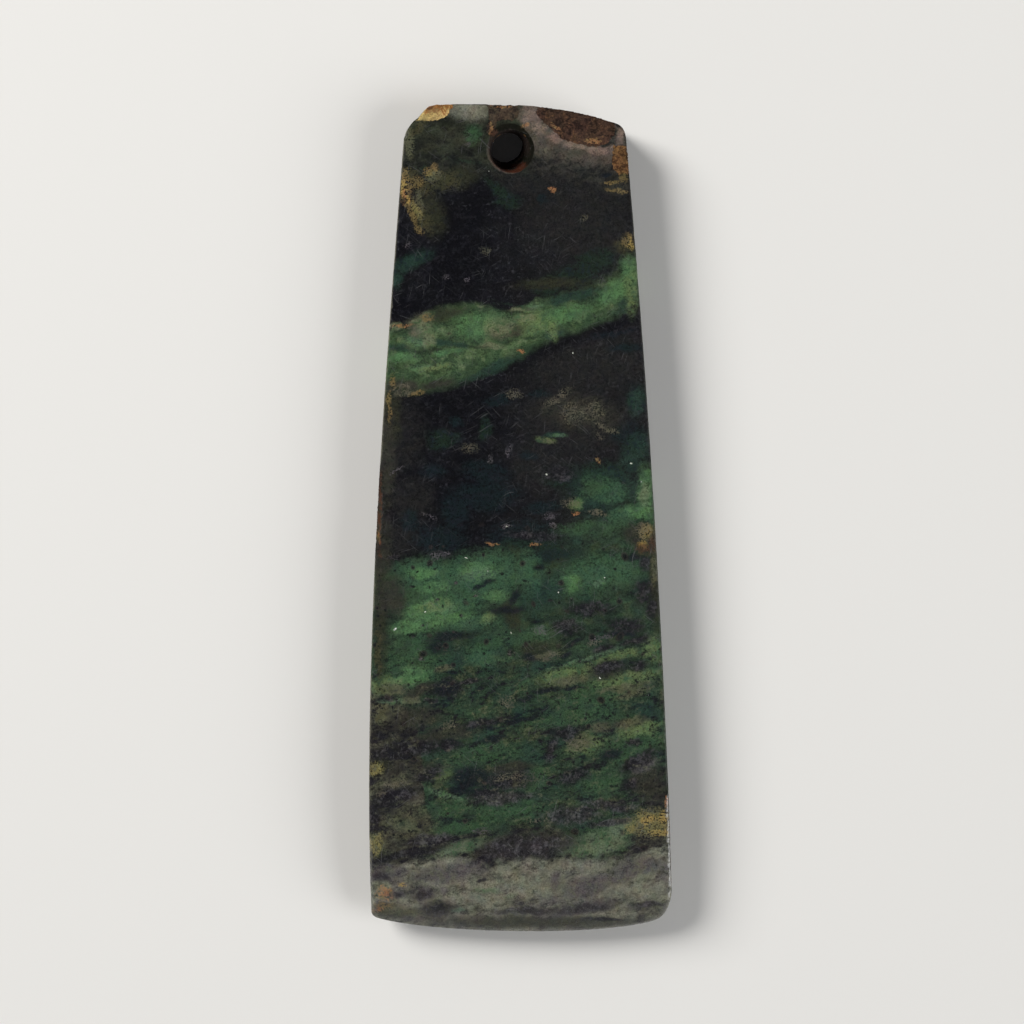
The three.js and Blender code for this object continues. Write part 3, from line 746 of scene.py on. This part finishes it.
class Figure:
    """The greenstone's colours, as fields over the whole stone."""

    def __init__(self, nodes):
        self.nodes = nodes
        self.place = nodes.vector("SCALE", nodes.add("TexCoord", out="Object"))
        self.place.socket.node.inputs["Scale"].default_value = 1 / MM
        self.folded = self.warped(self.place, 12, 2.2, 1)
        self.frayed = self.warped(self.warped(self.adrift(self.place), 5, 1.2, 2), 1.5, 0.6, 2)
        self.turned = {0: self.frayed}
        self.x = nodes.add("SeparateXYZ", sockets={"Vector": self.frayed})
        self.y = Field(nodes, self.x.socket.node.outputs["Y"])
        self.broad = nodes.cloud(self.folded, 15, 2, 0.5)
        self.hue = nodes.cloud(self.folded, 6, 3, 0.55)
        self.streaks = nodes.cloud(nodes.stretched(self.folded, GRAIN_SLOPE, (2.8, 1, 1.6)), 3.2, 5, 0.68)
        self.veins = nodes.cloud(nodes.stretched(self.frayed, GRAIN_SLOPE, (2, 0.9, 1)), 1.5, 4, 0.65)
        self.mottle = nodes.cloud(self.frayed, 2.4, 4, 0.65)
        self.grain = nodes.cloud(self.place, 0.8, 3, 0.65)
        self.tatter = self.veins * 0.9 + self.streaks * 0.7 + self.grain * 1.3 - 1.45
        self.pits = nodes.cloud(self.place, 0.4, 2, 0.5)
        self.crumbs = self.pits * 1.6 + self.grain * 1.4 + self.veins * 0.6 - 1.92
        self.flecks = nodes.smooth(self.mottle + (self.grain - 0.5) * 0.6, 0.68, 0.46)

    def pushes(self, vector, size, detail):
        """A cloud of pushes, each from -0.5 to 0.5 along every axis."""
        return self.nodes.vector("SUBTRACT", self.nodes.cloud(vector, size, detail, out=1), (0.5, 0.5, 0.5))

    def warped(self, vector, size, amount, detail):
        reach = (2 * amount, 2 * amount, amount)
        return self.nodes.vector("MULTIPLY_ADD", self.pushes(vector, size, detail), reach, vector)

    def adrift(self, vector):
        """The vector, pushed along on the steep sides: no border runs straight down them."""
        nodes = self.nodes
        facing = nodes.add("SeparateXYZ", sockets={"Vector": nodes.add("TexCoord", out="Normal")}, out="Z")
        steep = nodes.smooth(nodes.math("ABSOLUTE", facing), 0.75, 0.35)
        reach = nodes.add("CombineXYZ", sockets={0: steep * 16, 1: steep * 22})
        return nodes.vector("MULTIPLY_ADD", self.pushes(vector, 7, 2), reach, vector)

    def along(self, points, x):
        """The height (mm) at x of a curve through listed places."""
        width, length = 2 * CURVE_SPAN, 2 * CURVE_RISE
        shares = [((across + CURVE_SPAN) / width, (up + CURVE_RISE) / length) for across, up in points]
        height = self.nodes.add("FloatCurve", {"points": shares}, {"Value": (x + CURVE_SPAN) / width})
        return height * length - CURVE_RISE

    def from_patch(self, place, reach, turn):
        """How far the stone is from a patch's middle, in the patch's reaches."""
        if turn not in self.turned:
            sockets = {"Vector": self.frayed, "Angle": math.radians(-turn)}
            self.turned[turn] = self.nodes.add("VectorRotate", {"rotation_type": "Z_AXIS"}, sockets)
        middle = Matrix.Rotation(math.radians(-turn), 3, "Z") @ Vector(place)
        return self.nodes.reaches_from(self.turned[turn], middle, reach)

    def painted(self, colour, layers, tearing):
        """The colour with layers of patches over it, which the noise in tearing breaks up."""
        nodes = self.nodes
        for layer in layers:
            depth = MID if layer.deep == THROUGH else THICKNESS
            nearest = None
            for (x, y), (long, wide), *turn in layer.places:
                reach = (long, wide, layer.deep)
                distance = self.from_patch((x, y, depth), reach, turn[0] if turn else 0)
                nearest = distance if nearest is None else nodes.math("MINIMUM", nearest, distance)
            inside = nodes.smooth(nearest, 1.8, 0.1)
            torn = inside * (tearing * layer.tear + 1)
            paint = nodes.mix(self.flecks, layer.fleck, layer.colour)
            colour = nodes.mix(nodes.smooth(torn, 0.05, 0.95) * layer.cover, colour, paint)
        return colour

    def attribute(self, name):
        return self.nodes.add("Attribute", {"attribute_name": name}, out="Fac")

    def grains(self, size, share, *radii):
        """For each radius, 1 in round grains, in about that share of the cells of that size (mm)."""
        nodes = self.nodes
        values = {"Vector": self.folded, "Scale": 1 / size}
        cells = nodes.add("TexVoronoi", {"feature": "F1"}, values, "Distance")
        own = nodes.add("SeparateColor", sockets={"Color": Field(nodes, cells.socket.node.outputs["Color"])})
        chosen = nodes.math("LESS_THAN", own, share)
        far = cells / (Field(nodes, own.socket.node.outputs["Green"]) + 0.5)
        return [nodes.smooth(far, 1.1 * radius, 0.6 * radius) * chosen for radius in radii]

    def dark_ground(self):
        """Near-black stone, a little paler and browner towards the right."""
        smooth, mix = self.nodes.smooth, self.nodes.mix
        dark = mix(smooth(self.mottle + self.broad, 0.78, 1.22), INK, CHARCOAL)
        dark = mix(smooth(self.x + (self.hue - 0.5) * 30, -14, 16) * 0.6, dark, ASH)
        flecks = smooth(self.veins + (self.grain - 0.5) * 0.9, 0.58, 0.78)
        return mix(flecks * 0.65, dark, FELT)

    def band(self, colour):
        """The colour with the bright green band across it."""
        nodes = self.nodes
        smooth, mix = nodes.smooth, nodes.mix
        below_top = self.along(BAND_TOP, self.x) - self.y
        above_foot = self.y - self.along(BAND_FOOT, self.x)
        green = mix(smooth(self.streaks, 0.32, 0.6), BAND_SHADE, BAND_GREEN)
        green = mix(smooth(self.hue + (self.mottle - 0.5) * 0.6, 0.46, 0.66) * 0.8, green, BAND_LIGHT)
        green = mix(smooth(self.mottle + (self.veins - 0.5) * 0.5, 0.56, 0.7) * 0.35, green, BAND_CREAM)
        green = mix(smooth(above_foot, 5, 0) * 0.7, green, BAND_SHADE)
        top = below_top / (smooth(self.x, 4, 20) * 5 + 1.2) + (self.veins - 0.5) * 1.4
        foot = above_foot / 1.3 + (self.veins - 0.5) * 1.4
        return mix(smooth(top, -0.6, 1.2) * smooth(foot, -0.8, 1.4), colour, green)

    def body(self, colour):
        """The colour with the green body over it, streaked darker and paler towards the cutting end."""
        nodes = self.nodes
        smooth, mix = nodes.smooth, nodes.mix
        green = mix(smooth(self.streaks, 0.3, 0.56), SHADE_GREEN, BODY_GREEN)
        green = mix(smooth(self.streaks + (self.hue - 0.5) * 0.7, 0.54, 0.76), green, LEAF_GREEN)
        green = mix(smooth(self.hue, 0.47, 0.36) * 0.6, green, TEAL_GREEN)
        green = mix(smooth(self.hue, 0.53, 0.64) * 0.7, green, MOSS)
        low = smooth(self.y, -24, -56)
        streaky = self.streaks + (self.veins - 0.5) * 0.8
        dusk = smooth(streaky, 0.32 + low * 0.16, 0.2 + low * 0.16)
        green = mix(dusk * 0.85, green, mix(smooth(self.hue, 0.42, 0.56), BLUE_DARK, LILAC_DARK))
        green = mix(smooth(streaky, 0.62, 0.78) * low * 0.7, green, OLIVE_TAN)
        below_top = (self.along(BODY_TOP, self.x) - self.y) / (smooth(self.x, -6, 8) * 5 + 1.4)
        above_foot = (self.y - self.along(BODY_FOOT, self.x)) / 3
        top = smooth(below_top + (self.veins - 0.5) * 2.4, -0.8, 1.4)
        foot = smooth(above_foot + (self.streaks - 0.5) * 5, -1.2, 1.2)
        return mix(top * foot, colour, green)

    def ground_colour(self):
        """The ground stone: near-black, with a green band and body, an olive butt and a pale end."""
        smooth, mix = self.nodes.smooth, self.nodes.mix
        streaky = self.streaks + (self.veins - 0.5) * 0.7
        dusk = mix(smooth(streaky, 0.36, 0.6), LILAC_DARK, BROWN_GREY)
        dusk = mix(smooth(streaky + (self.hue - 0.5) * 0.5, 0.56, 0.74) * 0.8, dusk, GREY_OLIVE)
        colour = mix(smooth(self.y, -34, -46), self.dark_ground(), dusk)
        pale = mix(smooth(streaky, 0.36, 0.64), GREY_OLIVE, PALE_STONE)
        pale = mix(smooth(self.hue, 0.5, 0.62) * 0.6, pale, LILAC_GREY)
        pale = mix(smooth(streaky, 0.4, 0.28) * 0.7, pale, LILAC_FLECK)
        into_pale = self.along(PALE_TOP, self.x) - self.y + (self.streaks - 0.5) * 8
        colour = self.body(self.band(mix(smooth(into_pale, -1.4, 1.8), colour, pale)))
        butt = mix(smooth(self.streaks + (self.mottle - 0.5) * 0.5, 0.36, 0.64), BUTT_SHADE, BUTT_OLIVE)
        butt = mix(smooth(self.x, -2, 8) * 0.8, butt, mix(smooth(self.veins, 0.4, 0.6), ASH, BUTT_GREY))
        into_butt = self.y + (self.mottle - 0.5) * 10 + smooth(self.x, 0, 20) * 3
        return mix(smooth(into_butt, 87, 98), colour, butt)

    def weathered(self, colour):
        """The colour with the unground skin, its halo, the flake scars and the hole over it.

        Also gives what is raw, and how matte the stone is there and around.
        """
        nodes = self.nodes
        smooth, mix = nodes.smooth, nodes.mix
        skin, flake, bore = (self.attribute(name) for name in ("skin", "flake", "bore"))
        x, y, grain, mottle = self.x, self.y, self.grain, self.mottle
        by_butt = smooth(y, 88, 92)
        colour = self.painted(colour, HALO_LAYERS, self.tatter)

        lumps = nodes.cloud(self.folded, 2.2, 4, 0.65, Distortion=1.4)
        brown = mix(smooth(lumps, 0.38, 0.52), SKIN_DARK, SKIN_BROWN)
        brown = mix(smooth(lumps + (grain - 0.5) * 0.6, 0.58, 0.72) * 0.5, brown, SKIN_TAN)
        by_hole = mix(smooth(mottle + (grain - 0.5) * 0.5, 0.4, 0.6), DARK_BROWN, OLIVE_SKIN)
        brown = mix(smooth(x, 3, -1) * 0.8, brown, by_hole)
        brown = mix(smooth(x, 24.6, 26) * 0.8, brown, LILAC_GREY)
        skin_mask = smooth(skin + (grain - 0.5) * 0.8, -0.1, 0.1)
        colour = mix(skin_mask, colour, brown)

        broken = mix(smooth(lumps + (grain - 0.5) * 0.6, 0.42, 0.62), FLAKE_BROWN, FLAKE_TAN)
        cream = mix(smooth(lumps + (y - 107.6) * 0.12, 0.58, 0.42), BROWN_CREAM, CREAM)
        broken = mix(smooth(x, 0, -8) * by_butt, broken, cream)
        broken = mix(smooth(y, 40, 30), broken, mix(smooth(mottle, 0.4, 0.6), RUST, BROWN_GREY))
        flake_mask = smooth(flake + (grain - 0.5) * 0.8, -0.12, 0.16)
        colour = mix(flake_mask, colour, broken)

        low_wall = smooth(y + (mottle - 0.5) * 3, 95.6, 93.2)
        wall = mix(low_wall, BORE_LILAC, BORE_RED)
        # Painted shade: the upper-right wall of the hole, just inside the rim, is darkened to near-black
        wall = mix(smooth(bore + (grain - 0.5) * 0.6, 1.9, 1.1) * smooth(x + y, 92, 96), wall, BORE_RIM_SHADE)
        lip = bore + (grain - 0.5) * 0.4
        colour = mix(smooth(lip, -0.2, 0.1), colour, wall)
        # Painted highlight: a thin pale line on the hole's lower-left lip
        lower_rim_highlight = smooth(lip, -0.5, -0.1) * smooth(bore, 0.4, 0.1) * smooth(x + y, 92, 88)
        colour = mix(lower_rim_highlight * 0.6, colour, HALO_SHADE)
        raw = nodes.math("MAXIMUM", skin_mask, flake_mask)
        crust = smooth(nodes.math("MAXIMUM", skin, flake), -4.8, -2.4)
        return colour, raw, nodes.math("MAXIMUM", crust, smooth(bore, -1.8, -0.5))

    def finish(self):
        """The colour, the roughness and the fine surface of the whole stone."""
        nodes = self.nodes
        smooth, mix = nodes.smooth, nodes.mix
        colour = self.painted(self.ground_colour(), FIGURE_LAYERS, self.tatter)
        low = smooth(self.y, -24, -46)
        dark_fleck = smooth(self.veins + (self.mottle - 0.5) * 0.8 + (self.grain - 0.5) * 0.5, 0.44, 0.3)
        calm = smooth(self.y, -62, -88)
        colour = mix(dark_fleck * (low * (0.42 - calm * 0.3) + 0.15), colour, LILAC_DARK)
        light_fleck = smooth(self.veins + (self.hue - 0.5) * 0.5 + (self.grain - 0.5) * 0.6, 0.56, 0.74)
        colour = mix(light_fleck * low * smooth(self.y, -96, -84) * 0.4, colour, OLIVE_TAN)
        in_green = smooth(self.y, 4, -8) * smooth(self.y, -104, -84)
        rings, grains = self.grains(5.2, 0.75, 0.17, 0.1)
        colour = mix(rings * in_green * 0.7, colour, GRAIN_RING)
        colour = mix(grains * in_green * 0.9, colour, GRAIN)
        colour = mix(self.grains(2, 0.5, 0.16)[0] * in_green * 0.85, colour, GRAIN)
        colour, raw, crust = self.weathered(colour)
        colour = self.painted(colour, STAIN_LAYERS, self.crumbs + 0.13)
        colour = self.painted(colour, MARK_LAYERS, self.crumbs)
        coarse = smooth(self.y, -20, -50) * 0.5 + 1.2 - calm * 0.7
        pits = self.pits
        fine = (self.grain - 0.5) * coarse + (pits - 0.5) * 1.1
        shade = fine + (self.mottle - 0.5) * 0.7 + (self.veins - 0.5) * 0.5 + 1
        level = nodes.add("CombineXYZ", sockets={0: shade, 1: shade, 2: shade})
        wander = nodes.vector("SUBTRACT", nodes.cloud(self.frayed, 3.4, 3, 0.6, out=1), (0.5, 0.5, 0.5))
        level = nodes.vector("MULTIPLY_ADD", wander, (0.4, 0.2, 0.45), level)
        colour = nodes.vector("MULTIPLY", colour, level)
        scratches = None
        for turn in (26, -40, 78):
            dashes = nodes.cloud(nodes.stretched(self.folded, turn, (7, 0.25, 1)), 1, 1, 0.5)
            scratches = dashes if scratches is None else nodes.math("MAXIMUM", scratches, dashes)
        scratches = smooth(scratches, 0.68, 0.78) * smooth(self.broad, 0.4, 0.56) * (1 - raw)
        colour = mix(scratches * 0.4, colour, SCRATCH)
        colour = mix(self.grains(6.5, 0.35, 0.03)[0] * 0.85, colour, WHITE_SPECK)
        # The arrises are paled: partly real wear, partly a painted highlight, laid on more strongly towards
        # the left
        arris = self.attribute("arris") + (self.grain - 0.5) * 0.3
        wear_and_highlight = smooth(arris + (self.mottle - 0.5) * 1.8, 0.5, 0) * (1 - crust)
        colour = mix(wear_and_highlight * (smooth(self.x, 24, 8) * 0.4 + 0.1), colour, WEAR_AND_HIGHLIGHT)
        rough = smooth(self.grain, 0.3, 0.7) * 0.08 + 0.24 + scratches * 0.08
        height = self.grain * (raw * 0.25 + 0.03) + pits * (raw * 0.12 + 0.012) - scratches * 0.02
        bump = nodes.add("Bump", sockets={"Height": height, "Distance": MM, "Strength": 0.5})
        return colour, rough, bump, nodes.math("MAXIMUM", crust, smooth(arris, 1.7, 0.8) * 0.8)


def greenstone():
    material = bpy.data.materials.new("ground_greenstone")
    nodes = Nodes(material)
    colour, rough, bump, raw = Figure(nodes).finish()
    shared = {"Base Color": colour, "Normal": bump}
    polished = nodes.add("BsdfPrincipled", sockets={**shared, "Roughness": rough, "IOR": 1.6})
    crust = nodes.add("BsdfPrincipled", sockets={**shared, "Roughness": 0.85, "Specular IOR Level": 0.12})
    surface = nodes.add("MixShader", sockets={0: raw, 1: polished, 2: crust})
    nodes.add("OutputMaterial", sockets={"Surface": surface})
    return material


def pale_floor():
    material = bpy.data.materials.new("pale_floor")
    nodes = Nodes(material)
    shader = nodes.add("BsdfPrincipled", sockets={"Base Color": tint(214, 213, 210), "Roughness": 0.9})
    nodes.add("OutputMaterial", sockets={"Surface": shader})
    return material


def add_floor():
    mesh = bmesh.new()
    bmesh.ops.create_grid(mesh, x_segments=2, y_segments=2, size=4)
    data = bpy.data.meshes.new("floor")
    mesh.to_mesh(data)
    mesh.free()
    data.materials.append(pale_floor())
    floor = bpy.data.objects.new("floor", data)
    bpy.context.scene.collection.objects.link(floor)


def add_surroundings():
    """A studio with pale walls and a dim ceiling, so that the polished face stays dark from above."""
    world = bpy.data.worlds.new("studio")
    bpy.context.scene.world = world
    nodes = Nodes(world)
    up = nodes.add("SeparateXYZ", sockets={"Vector": nodes.add("TexCoord", out="Generated")}, out="Z")
    light = nodes.mix(nodes.smooth(up, 0.25, 0.85), tint(215, 217, 220), tint(78, 79, 82))
    background = nodes.add("Background", sockets={"Color": light, "Strength": 0.7})
    nodes.add("OutputWorld", sockets={"Surface": background})


bpy.context.scene.view_settings.view_transform = "Standard"
add_camera()
add_surroundings()
add_softbox("key_softbox", Vector((-1.9, 1.3, 1.4)), 1.4, 104, warmth=0.3, mirrored=False)
add_softbox("fill_softbox", Vector((2.2, -0.7, 1.3)), 1.8, 48)
add_floor()
add_axe_head(greenstone())
